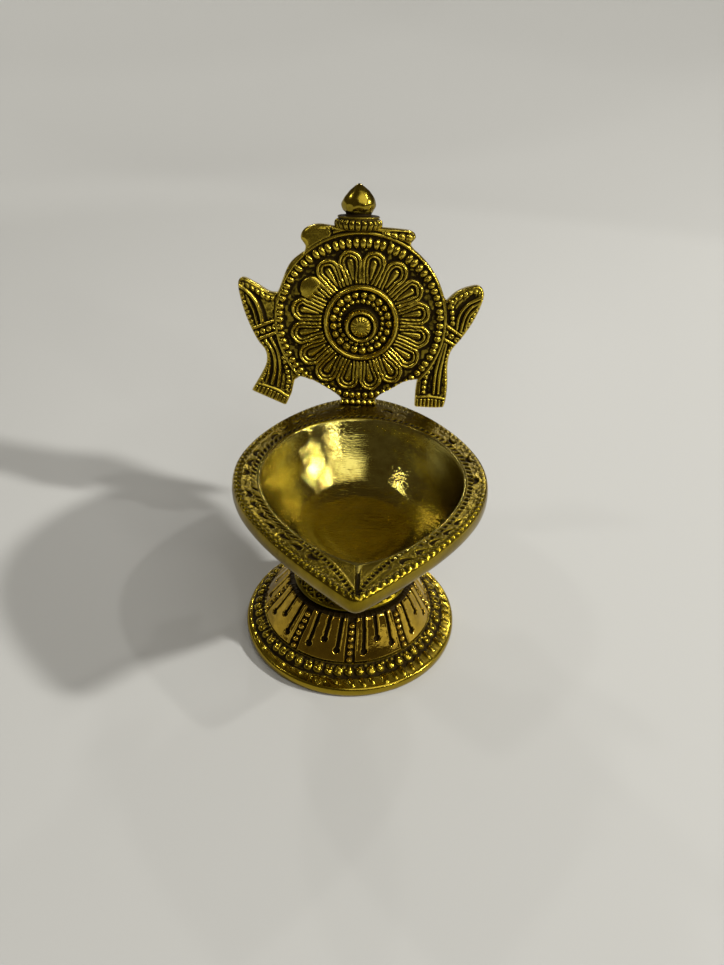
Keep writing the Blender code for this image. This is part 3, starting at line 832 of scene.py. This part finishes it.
def wheel_relief(x, s):
    """Height of the wheel's face, and a mask of its dark ground."""
    rho = np.hypot(x, s)
    turn = np.degrees(np.arctan2(s, x))

    # lip and ring of long beads
    height = 0.45 * ridge(np.hypot(x, s - DISC_S) - 22.55, 0.42)
    ring = np.hypot(x + 0.2, (s - 0.1) / 0.953)
    count = 72
    spot = turn / 360 * count
    own = np.round(spot) % count
    wobble = vary(-0.125, 0.125, own, 1, 91)
    across = (spot - np.round(spot) - wobble) * 2 * np.pi * 21.2 / count
    long_bead = vary(0.95, 1.07, own, 2, 91) + 0.42 * smooth(0.3, 1.0, np.sin(np.radians(turn)))
    bead = dome(np.hypot(across / 0.86, (ring - 21.35 - 0.5 * wobble) / long_bead)) ** 0.8
    height = np.maximum(height, vary(0.75, 0.95, own, 3, 91) * bead)

    # sixteen petals: each an outer ridge, an inner ridge and a stem
    count = 16
    step = 360 / count
    number = np.floor(turn / step)
    swing = np.radians(turn - (number + 0.5) * step)
    number = number % count
    lateral = rho * np.sin(swing)
    reach = rho * np.cos(swing)
    cap_at, cap_r = 15.72 + vary(-0.225, 0.225, number, 4, 92), 3.16
    straight = cap_r * np.clip(reach / 15.8, 0, 1.0)
    from_stem = np.where(reach < cap_at, np.abs(lateral), np.hypot(lateral, reach - cap_at))
    inside = np.where(reach < cap_at, straight, cap_r) - from_stem
    sheet = flat(x, s)
    inside = inside + 0.15 * noise(sheet, 1.3, 93) + 0.07 * noise(sheet, 0.5, 94)
    tongue = 0.58 * dome(from_stem / (0.40 + 0.48 * smooth(11.5, 15.5, reach))) * smooth(10.5, 12.0, reach)
    petal = np.maximum.reduce([0.90 * ridge(inside - 0.47, 0.50), 0.72 * ridge(inside - 1.42, 0.40), tongue])
    smeared = bell(number - 6, 0.3) * smooth(13.4, 14.8, reach) * (inside > 0.2)      # one was cast as a blob
    petal = mixed(petal, 0.25 + dome(np.hypot(lateral, reach - 15.9) / 3.3), smeared)
    height = np.maximum(height, petal * smooth(9.9, 10.6, rho) * (inside > -0.1))
    height += 0.22 * np.clip(noise(sheet, 0.9, 97), 0, 1) * smooth(0.25, 0.0, height)

    # hub: wire ring, round beads, small beads, boss ring and rosette
    hx = x - 0.15
    hub = np.hypot(hx, s)
    hub_turn = np.arctan2(s, hx) / (2 * np.pi)

    def ring_of(radius, count, size, tall, seed):
        spot = hub_turn * count
        own = np.round(spot) % count
        a = (spot - np.round(spot)) * 2 * np.pi * radius / count
        r = hub - radius + vary(0.1, -0.1, own, 6, seed)
        return tall * vary(0.8, 1.05, own, 8, seed) * dome(np.hypot(a, r) / (size * vary(0.9, 1.1, own, 7, seed)))

    height = np.maximum.reduce([np.where(hub < 9.9, 0.0, height), 1.55 * ridge(hub - 9.35, 0.78),
                                ring_of(7.45, 21, 1.08, 1.15, 95) * (hub < 8.7),
                                ring_of(5.70, 25, 0.70, 0.80, 96) * (hub < 6.5)])
    bs = s + 0.55
    boss = np.hypot(hx, bs)
    rise = smooth(4.75, 4.3, boss)
    rays = 0.16 * np.abs(np.sin(np.arctan2(bs, hx) * 8)) * smooth(0.8, 1.6, boss)
    height = np.maximum.reduce([mixed(height, 1.7, rise),
                                3.05 * ridge(boss - 3.72, 0.62) ** 0.6 * (boss < 4.4),
                                smooth(3.1, 2.7, boss) * (1.85 + 1.25 * dome(boss / 3.1) + rays)])
    ground = mixed(np.clip(1 - height / 0.35, 0, 1), np.clip(1 - height / 0.5, 0, 1), smooth(10.0, 9.6, hub))
    return height, np.maximum(ground, 0.8 * smooth(0.45, 0.2, np.abs(boss - 2.98)))


# For each side, right or not: the ribbon's middle line, where its knot is along it, ridges as (points,
# half width, height), rows of beads as (points, bead radius) and grooves as (points, half width).
RIBBONS = {
    False: {
        "axis": [(-31.6, 10.0), (-30.0, 5.8), (-28.0, 1.4), (-26.4, -2.6), (-24.8, -6.4), (-22.7, -10.6),
                 (-22.3, -14.6), (-23.1, -18.2), (-24.8, -22.1)],
        "knot": 14.2,
        "strands": [
            ([(-30.9, 8.0), (-29.0, 6.4), (-27.8, 4.7), (-26.9, 2.5), (-26.4, 0.4), (-26.2, -1.3)], 0.60, 1.0),
            ([(-29.3, 4.2), (-28.5, 2.4), (-28.0, 0.4), (-27.6, -1.6)], 0.34, 0.7),
            ([(-24.9, -6.4), (-23.6, -8.6), (-23.0, -11.4), (-23.2, -14.6), (-24.0, -17.8)], 0.46, 0.75),
            ([(-23.4, -6.2), (-22.2, -8.8), (-21.7, -12.3), (-21.9, -15.6), (-22.4, -18.9)], 0.44, 0.7),
            ([(-24.9, -8.6), (-24.5, -11.6), (-24.9, -15.0), (-25.6, -17.4)], 0.30, 0.4)],
        "rows": [([(-20.0, -12.9), (-19.5, -15.0), (-19.4, -17.3), (-20.2, -19.9)], 0.70)],
        "grooves": [
            ([(-30.4, 6.4), (-29.7, 2.9), (-28.6, -0.3)], 0.46),
            ([(-28.2, 6.6), (-26.6, 4.4), (-25.6, 1.6), (-25.2, -0.8)], 0.42)],
    },
    True: {
        "axis": [(31.4, 10.0), (29.8, 6.2), (27.6, 2.2), (25.0, -1.8), (23.0, -5.6), (20.9, -10.0),
                 (20.3, -14.0), (20.1, -18.6), (20.0, -23.2)],
        "knot": 14.6,
        "strands": [
            ([(25.8, 0.2), (26.1, 2.6), (27.0, 4.5), (28.4, 6.0), (30.0, 6.9)], 0.46, 0.85),
            ([(27.0, -0.4), (27.4, 1.6), (28.1, 3.6), (29.2, 5.1), (30.5, 6.0)], 0.42, 0.8),
            ([(28.1, -0.8), (28.4, 1.4), (29.1, 3.1), (30.3, 4.6)], 0.36, 0.6),
            ([(22.3, -6.6), (21.2, -11.8), (20.9, -15.6), (20.9, -19.9)], 0.44, 0.7),
            ([(23.0, -6.9), (22.3, -11.8), (22.1, -16.0), (22.2, -20.1)], 0.44, 0.7)],
        "rows": [
            ([(20.9, -7.4), (20.2, -9.4), (19.3, -12.0), (18.4, -14.5), (18.1, -17.0), (18.1, -20.0)], 0.74),
            ([(24.0, 4.9), (24.3, 2.6), (24.7, 0.2)], 0.72)],
        "grooves": [
            ([(21.7, -6.4), (20.5, -10.3), (19.6, -13.5), (19.5, -16.6), (19.6, -20.4)], 0.40),
            ([(25.2, 0.8), (25.2, 3.0), (26.0, 5.0), (27.6, 6.6)], 0.40)],
    },
}


def ribbon_relief(x, s, inset, right):
    """Height of one ribbon's face: leaf with beaded borders, knot, ridged tail and fringe."""
    spec = RIBBONS[right]
    knot = spec["knot"]
    path = spline(spec["axis"], 6)
    run, side, _ = along(path, x, s)
    end = np.linalg.norm(np.diff(path, axis=0), axis=1).sum()
    sheet = flat(x, s)
    out = side if right else -side          # positive away from the wheel
    wander = 0.14 * noise(sheet, 2.0, 102)

    def border(centre, pitch, size, tall, seed, place):
        own = np.round(place / pitch)
        d = np.hypot(place - own * pitch, inset - centre) / (size * vary(0.85, 1.15, own, 1, seed))
        return tall * vary(0.75, 1.15, own, 2, seed) * dome(d)

    leaf_part = smooth(knot - 1.9, knot - 2.4, run)
    tail = window(knot + 1.9, knot + 2.4, end - 4.3, end - 3.9, run)
    grooves, rows, ridges = 0.0 * x, 0.0 * x, 0.0 * x
    for points, half in spec["grooves"]:
        gap = near_line(points, x, s)[2]
        grooves = np.maximum(grooves, smooth(half + 0.25, half - 0.15, gap + wander * 0.5))
    for points, size in spec["rows"]:
        row_run, _, gap = near_line(points, x, s)
        own = np.round(row_run / (size * 2.0))
        bead = dome(np.hypot(row_run - own * size * 2.0, gap) / (size * vary(0.9, 1.15, own, 3, 106)))
        rows = np.maximum(rows, vary(0.7, 0.95, own, 4, 106) * bead)
        grooves = np.maximum(grooves, smooth(size + 0.30, size, gap) * (1 - bead) * 0.8)
    for points, half, tall in spec["strands"]:
        gap = near_line(points, x, s)[2] + wander * 0.4
        ridges = np.maximum(ridges, tall * ridge(gap, half))
        grooves = np.maximum(grooves, smooth(half + 0.55, half + 0.10, gap) * (gap > half * 0.9))
    grooves *= (leaf_part + tail) * smooth(0.4, 0.8, inset)
    height = np.maximum.reduce([
        0.12 + 0.22 * lumps(sheet, 1.1, 100) - 0.50 * grooves,
        border(0.82, 1.35, 0.70, 0.68, 101, run) * leaf_part * (out > 0.6),
        border(1.50, 1.30, 0.66, 0.66, 107, x) * leaf_part * (out < 0.6),
        np.maximum(ridges, rows) * np.clip(leaf_part + tail, 0, 1),
        border(0.62, 1.15, 0.54, 0.50, 103, run) * tail * (out > 0)])

    near_knot = smooth(2.3, 1.9, np.abs(run - knot))
    rings = np.hypot(run - knot, side - np.round(side / 1.75) * 1.75)
    bars = np.maximum(ridge(np.abs(run - knot) - 1.60, 0.55), ridge(rings - 0.46, 0.36))
    knot_height = 0.15 + 0.70 * bars
    height = mixed(height, knot_height, near_knot)
    grooves = mixed(grooves, np.clip(1.1 - knot_height / 0.35, 0, 1), near_knot)

    hem = end - 3.3 + 0.03 * side ** 2
    height = np.maximum(height, 0.62 * ridge(run - hem, 0.42))
    teeth = ridge(((side / 1.05 + 0.30 * wander) % 1) - 0.5, 0.44)
    teeth = teeth * vary(0.7, 1.2, np.floor(side / 1.05), 5, 108)
    fringe = smooth(hem + 0.45, hem + 0.8, run) * (0.12 + 0.40 * teeth)
    height = np.maximum(height, fringe * smooth(end + 0.1, end - 0.4, run))
    return height, np.maximum(grooves, 0.15 * np.clip(1 - height / 0.2, 0, 1))


def plate_relief(x, s, inset):
    """Height of the plate's whole face, and a mask of its dark ground."""
    height, ground = wheel_relief(x, s)
    off_wheel = np.hypot(x, s - DISC_S) - DISC_R
    beyond = smooth(-0.05, 0.15, off_wheel)
    upper = smooth(13.0, 14.0, s)
    sides = zip(ribbon_relief(x, s, inset, False), ribbon_relief(x, s, inset, True))
    ribbon_height, ribbon_ground = (np.where(x < 0, left, right) for left, right in sides)
    height = mixed(height, (1 - upper) * ribbon_height, beyond)
    ground = mixed(ground, (1 - upper) * ribbon_ground, beyond)

    # the banner above the wheel: plain on the left, beaded on the right
    across = x - 6.1
    pitch = 1.87
    bead = dome(np.hypot(across - np.round(across / pitch) * pitch, s - 22.45 + 0.07 * across) / 1.0)
    bead *= (x > 4.9) & (x < 13.0)
    fold = 0.4 * ridge(x + 8.8 + 0.15 * np.sin(s * 3), 0.5) * (x < -7)
    left_pad = 0.40 * smooth(0.2, 1.1, inset) * smooth(-8.5, -9.3, x)
    crest = 0.45 * ridge(s - 23.75, 0.42) * (x > -8)
    terrace = 0.40 * ridge(off_wheel - 0.75, 0.42) * (x > -7.5)
    height += beyond * upper * np.maximum.reduce([0.95 * bead, fold, left_pad, crest, terrace])
    ground += beyond * upper * (x > 4.4) * np.clip(0.6 - bead * 2, 0, 1) * (s < 23.2)

    # the neck: a plain line and a row of beads on the rim
    neck = smooth(5.9, 5.3, np.abs(x)) * smooth(-20.9, -21.3, s)
    pitch = 1.6
    bead = dome(np.hypot(x - np.round(x / pitch) * pitch, s + 22.35) / 0.85)
    height = mixed(height, 0.9 * bead + 0.35 * ridge(s + 21.25, 0.35), neck)
    ground = mixed(ground, np.clip(1 - 2 * bead, 0, 1), neck)

    sheet = flat(x, s)
    height = height + 0.05 * lumps(sheet, 1.0, 111) + 0.10 * lumps(sheet, 7.0, 112, 2)
    height -= 0.25 * beyond * (1 - upper)           # the ribbons lie a little lower than the wheel
    round_off = 0.5
    t = np.clip(1 - inset / round_off, 0, 1)
    return height * smooth(0.0, 0.35, inset) - round_off * (1 - np.sqrt(1 - t * t)), ground


def back_plate():
    """The plate as one closed casting: a fine front with all its relief, an edge and a plain back."""
    step = 0.17
    outline = plate_outline()
    x, s = np.meshgrid(np.arange(-33, 33, step), np.arange(-23.6, 25, step))
    inset, near = edge_distance(outline, x, s)
    keep = inset > 0.02
    corner_cuts = [(slice(None, -1), slice(None, -1)), (slice(None, -1), slice(1, None)),
                   (slice(1, None), slice(1, None)), (slice(1, None), slice(None, -1))]
    cells = np.logical_and.reduce([keep[cut] for cut in corner_cuts])
    used = np.zeros(x.shape, int)
    for cut in corner_cuts:
        used[cut] += cells
    rim = (used > 0) & (used < 4)
    x = np.where(rim, near[..., 0], x)
    s = np.where(rim, near[..., 1], s)
    inset = np.where(rim, 0.0, inset)
    height, ground = plate_relief(x, s, inset)

    def blurred(values):
        sigma = 0.42 / step
        return blur(blur(values, sigma, 0, False), sigma, 1, False)

    around = blurred(np.where(keep, height, 0.0)) / np.maximum(blurred(keep.astype(float)), 1e-3)
    gap = (around - height) / 0.14
    recess_and_shade = (np.clip(gap, 0, 1.5) + 0.42 * ground) * smooth(0.1, 0.5, inset)
    taken = used > 0
    index = -np.ones(x.shape, int)
    index[taken] = np.arange(taken.sum())
    front = np.stack([x[taken], -height[taken], s[taken]], -1)
    quads = np.stack([index[cut][cells] for cut in corner_cuts], -1)
    points, corners, counts = [front], [quads.ravel()], [np.full(len(quads), 4)]
    layers = {"recess_and_shade": [recess_and_shade[taken]], "proud_minus_shade": [np.clip(-gap, 0, 1.5)[taken]]}

    # the edge
    previous, total = border_loop(quads), len(front)
    size = len(previous)
    rim_xy = front[previous][:, (0, 2)]
    tangent = blur(np.roll(rim_xy, -1, 0) - np.roll(rim_xy, 1, 0), 2.0, 0, True)
    inward = np.stack([-tangent[:, 1], tangent[:, 0]], -1)
    inward /= np.maximum(np.linalg.norm(inward, axis=1, keepdims=True), 1e-9)
    for depth, pull in ((1.0, -0.04), (1.7, -0.05), (2.4, 0.0), (2.8, 0.05), (PLATE_THICK, 0.16)):
        edge_xy = rim_xy + inward * pull
        points.append(np.stack([edge_xy[:, 0], np.full(size, depth), edge_xy[:, 1]], -1))
        own = np.arange(total, total + size)
        corners.append(np.stack([previous, own, np.roll(own, -1), np.roll(previous, -1)], -1).ravel())
        counts.append(np.full(size, 4))
        layers["recess_and_shade"].append(np.full(size, 0.15))
        layers["proud_minus_shade"].append(np.full(size, 0.2))
        previous, total = own, total + size

    # the back: rough from the mould and a little hollow
    bx, bs = (v.ravel() for v in np.meshgrid(np.arange(-32.5, 32.5, 0.6), np.arange(-23.5, 24.9, 0.6)))
    number = np.arange(len(bx))
    bx, bs = bx + vary(-0.1, 0.1, number, 1, 113), bs + vary(-0.1, 0.1, number, 2, 113)
    back_inset = edge_distance(outline, bx, bs)[0]
    inner = back_inset > 1.1
    bx, bs, back_inset = bx[inner], bs[inner], back_inset[inner]
    sunk = 0.30 * smooth(0.8, 2.6, back_inset) + 0.16 * lumps(flat(bx, bs), 3.2, 114) * smooth(0.8, 2.0, back_inset)
    sheet = [Vector(v) for v in np.vstack([edge_xy, np.stack([bx, bs], -1)]).tolist()]
    _, _, triangles, sources, _, _ = delaunay_2d_cdt(sheet, [], [list(range(size))], 1, 1e-6)
    number = np.array([min(s) for s in sources])
    index = np.where(number < size, previous[np.minimum(number, size - 1)], total + number - size)
    points.append(np.stack([bx, PLATE_THICK - sunk, bs], -1))
    corners.append(index[np.array(triangles)].ravel())
    counts.append(np.full(len(triangles), 3))
    layers["recess_and_shade"].append(0.12 + 0.5 * np.clip(sunk - 0.22, 0, 1))
    layers["proud_minus_shade"].append(np.clip(0.25 - sunk, 0, 1))
    obj = build_mesh("back_plate_cast", to_lamp(np.vstack(points)), np.concatenate(corners),
                     np.concatenate(counts), {k: np.concatenate(v) for k, v in layers.items()})
    turn_outward(obj)
    return finish_piece(obj, "plate", "bowl", "back_plate")


def border_loop(quads):
    """The points of the open edge of a sheet of quads, in order, following the faces' direction."""
    edges = np.concatenate([quads[:, [k, (k + 1) % 4]] for k in range(4)])
    keys, back = edges @ (10_000_000, 1), edges @ (1, 10_000_000)
    alone = edges[~np.isin(keys, back)]
    following = dict(zip(alone[:, 0].tolist(), alone[:, 1].tolist()))
    start = int(alone[0, 0])
    loop, at = [start], following[start]
    while at != start:
        loop.append(at)
        at = following[at]
    if len(loop) != len(alone):
        raise RuntimeError(f"the plate's edge is {len(alone)} long, but one loop has {len(loop)}")
    return np.array(loop)


def turn_outward(obj):
    work = bmesh.new()
    work.from_mesh(obj.data)
    bmesh.ops.recalc_face_normals(work, faces=work.faces)
    work.to_mesh(obj.data)
    work.free()


# ---------------------------------------------------------------- finial and fixings

def finial():
    """A lobed cup and a pointed bud on top of the plate, flattened front to back."""
    cup_z, tip_z = 23.6, 34.45
    cup = [(2.6, -0.3), (4.3, -0.25), (5.5, 0.2), (6.0, 1.0), (5.95, 1.8), (5.4, 2.35), (5.2, 2.6), (5.4, 2.95),
           (5.0, 3.3), (4.2, 3.4), (3.5, 3.5)]
    bud = [(3.5, 3.5), (3.4, 3.8), (3.75, 4.5), (4.2, 5.4), (4.3, 6.1), (4.0, 7.0), (3.35, 8.0), (2.45, 9.0),
           (1.5, 9.9), (0.8, 10.5), (0.12, tip_z - cup_z)]
    profile = np.vstack([path_through(spline(cup, 8), 0.16), path_through(spline(bud, 8), 0.18)[1:]])
    grid, angle = turned_grid(profile + (0, cup_z), 264)
    up = spread(profile[:, 1], angle)
    on_cup = window(-0.25, 0.2, 2.2, 2.5, up)
    lobe = ridge((angle / (2 * np.pi) * 22) % 1 - 0.5, 0.42)
    height = on_cup * (0.55 * lobe - 0.38) - 0.15 * bell(up - 3.6, 0.3)
    height += smooth(3.9, 4.6, up) * (0.20 + 0.30 * smooth(7.5, 5.0, up)) * lumps(grid, 2.4, 121, 2)
    layers = relief_layers(height, (3, 5))
    layers["recess_and_shade"] += 0.9 * bell(up - 3.55, 0.4) + 0.4 * smooth(0.5, 0.1, up) + 0.7 * bell(up - 2.5, 0.22)
    # the top of the cup is painted darker: painted shade that keeps it from showing a bright line
    layers["recess_and_shade"] += 0.4 * window(2.9, 3.2, 3.7, 4.0, up)
    layers["recess_and_shade"] += 0.45 * on_cup * np.clip(1 - 1.6 * lobe, 0, 1)
    moved = raised(grid, angle, 0.0, height) * (1, 0.75, 1) + (-1.3, PLATE_THICK / 2, 0)
    obj = skin("finial_bud", to_lamp(moved.reshape(-1, 3)).reshape(moved.shape), layers, poles=True)
    return finish_piece(obj, "bud", "bowl", "finial")


def threaded_rod(name, centre, radius, low, high, pitch, depth, stands_for):
    """A rod with a real helical thread and a chamfered lower end."""
    around, rows = 72, int((high - low) / (pitch / 9))
    z = np.linspace(low, high, rows)[:, None]
    angle = 2 * np.pi * np.arange(around) / around
    phase = (z / pitch - angle / (2 * np.pi)) % 1
    cut = depth * np.clip(1 - np.abs(phase - 0.5) * 3.2, 0, 1)
    r = np.minimum(radius - cut, radius - 0.55 + z - low)
    grid = np.stack([centre[0] + r * np.cos(angle), centre[1] + r * np.sin(angle), z + 0 * angle], -1)
    layers = {"recess_and_shade": cut / depth * 0.6, "proud_minus_shade": 1 - cut / depth}
    return finish_piece(skin(name, grid, layers, poles=True), "cut", "bowl", stands_for)


def tang_fixings():
    """The threaded tang under the rim with its washer and hexagon nut."""
    centre = (0.0, PLATE_Y + PLATE_THICK / 2)
    threaded_rod("plate_tang", centre, radius=1.25, low=34.8, high=43.9, pitch=0.5, depth=0.22,
                 stands_for="back_plate")
    washer = [(1.55, 39.35), (1.6, 39.4), (2.7, 39.4), (2.8, 39.3), (2.8, 38.7), (2.7, 38.6), (1.6, 38.6),
              (1.55, 38.65)]
    grid = turned_grid(path_through(washer, 0.2), 96)[0] + (*centre, 0)
    obj = skin("tang_washer_cut", grid, blank_layers(grid, 0.15), closed=True, inward=True)
    finish_piece(obj, "cut", "bowl", "tang_washer")

    # the nut: rings whose radius is cut short by the hexagon, and two round ones at each end of the bore
    angle = 2 * np.pi * np.arange(180) / 180
    unit = np.column_stack([np.cos(angle), np.sin(angle)])
    hexagon = 2.3 / np.cos((angle % (np.pi / 3)) - np.pi / 6)
    nut = [(1.38, 36.1), (1.6, 36.0), (2.2, 36.0), (2.48, 36.12), (9, 36.35), (9, 37.2), (9, 38.0),
           (2.48, 38.2), (2.2, 38.3), (1.6, 38.3), (1.38, 38.2)]
    grid = np.stack([at_height(centre + unit * np.minimum(hexagon, r)[:, None], z) for r, z in nut])
    obj = skin("tang_nut_cut", grid, blank_layers(grid, 0.1), closed=True)
    obj.data.set_sharp_from_angle(angle=math.radians(35))
    finish_piece(obj, "cut", "bowl", "tang_nut")


foot_base()
foot_cone()
waist_collar()
bowl_rim()
bowl_body()
back_plate()
finial()
threaded_rod("bowl_stud_cut", (0.0, 0.0), radius=2.9, low=6.8, high=24.4, pitch=1.5, depth=0.75,
             stands_for="bowl_stud")
tang_fixings()


# ---------------------------------------------------------------- floor, light and camera

def floor():
    """A pale floor that sweeps up behind the lamp, in metres."""
    flat_r, bend_r, around = 0.42, 0.30, 96
    bend = [(flat_r + bend_r * math.sin(a), bend_r * (1 - math.cos(a)))
            for a in np.linspace(0, math.radians(72), 24)]
    rows = [(0.12, 0.0), (0.26, 0.0)] + bend
    points, faces = [(0, 0, 0)], []
    for r, z in rows:
        for a in np.linspace(0, 2 * math.pi, around, endpoint=False):
            behind = float(smooth(-0.35, 0.25, math.sin(a)))
            points.append((r * math.cos(a), r * math.sin(a), z * behind))
    for k in range(around):
        after = (k + 1) % around
        faces.append((0, 1 + k, 1 + after))
        for first in range(1, 1 + (len(rows) - 1) * around, around):
            faces.append((first + k, first + around + k, first + around + after, first + after))
    mesh = bpy.data.meshes.new("floor")
    mesh.from_pydata(points, [], faces)
    mesh.shade_smooth()
    look = bpy.data.materials.new("pale_floor")
    look.use_nodes = True
    tree = look.node_tree
    shader = tree.nodes["Principled BSDF"]
    shader.inputs["Base Color"].default_value = (0.47, 0.47, 0.452, 1)
    shader.inputs["Specular IOR Level"].default_value = 0.15
    where = node(tree, "ShaderNodeTexCoord").outputs["Object"]
    away = node(tree, "ShaderNodeVectorMath", operation="LENGTH", Vector=where)
    fade = node(tree, "ShaderNodeMapRange")
    feed(tree, fade.inputs, (away.outputs["Value"], 0.22, 0.42, 0.50, 0.75))
    tree.links.new(fade.outputs[0], shader.inputs["Roughness"])
    mesh.materials.append(look)
    put("floor", mesh)


# name: direction, distance and size in metres, power in watts
LAMPS = {
    "key_right": ((0.85, -0.17, 0.53), 1.3, 0.07, 7.0),
    "key_on_floor": ((0.85, -0.17, 0.53), 1.3, 0.10, 11.0),
    "high_right": ((0.60, -0.08, 0.78), 1.4, 0.06, 2.8),
    "front_right": ((0.61, -0.68, 0.41), 1.3, 0.12, 1.6),
    "left": ((-0.60, 0.0, 0.78), 1.4, 0.12, 1.6),
    "ceiling_a": ((-0.284, 0.803, 0.525), 1.8, 0.08, 2.4),
    "ceiling_b": ((-0.323, 0.689, 0.649), 1.8, 0.08, 2.4),
    "ceiling_c": ((0.247, 0.847, 0.471), 1.8, 0.08, 2.4),
    "ceiling_d": ((0.296, 0.684, 0.667), 1.8, 0.08, 2.4),
    "soft_top": ((0.42, -0.62, 1.0), 1.5, 1.2, 6.5),
}


def lights():
    target = Vector((0, 0, 0.04))
    for name, (direction, distance, size, power) in LAMPS.items():
        data = bpy.data.lights.new(name, "AREA")
        data.shape = "DISK"
        data.size = size
        data.energy = power
        data.color = (1.0, 0.985, 0.95)
        obj = put(name, data)
        obj.location = target + Vector(direction).normalized() * distance
        obj.rotation_mode = "QUATERNION"
        obj.rotation_quaternion = (target - obj.location).to_track_quat("-Z", "Y")
    bpy.data.objects["key_on_floor"].visible_glossy = False
    world = bpy.data.worlds.new("studio")
    bpy.context.scene.world = world
    world.use_nodes = True
    tree = world.node_tree
    seen = node(tree, "ShaderNodeLightPath").outputs["Is Camera Ray"]
    tint = mix_colour(tree, seen, (0.085, 0.071, 0.051, 1), (0.50, 0.50, 0.48, 1))
    tree.links.new(tint, tree.nodes["Background"].inputs["Color"])


def camera():
    """The viewing angle: 34.5 degrees down, rolled 2 degrees, on a 27 mm lens."""
    pitch, roll = math.radians(34.5), math.radians(-2.04)
    forward = Vector((0, math.cos(pitch), -math.sin(pitch)))
    upward = Vector((0, math.sin(pitch), math.cos(pitch)))
    rightward = Vector((1, 0, 0))
    up = upward * math.cos(roll) + rightward * math.sin(roll)
    right = rightward * math.cos(roll) - upward * math.sin(roll)
    data = bpy.data.cameras.new("camera")
    data.lens = 27.05
    data.sensor_width = 36.0
    data.clip_start = 0.005
    obj = put("camera", data)
    turn = Matrix((right, up, -forward)).transposed()
    obj.matrix_world = Matrix.Translation(Vector(AXIS) + Vector((1.93, -141.69, 141.2)) * MM) @ turn.to_4x4()
    bpy.context.scene.camera = obj


floor()
lights()
camera()
bpy.context.scene.view_settings.view_transform = "Standard"
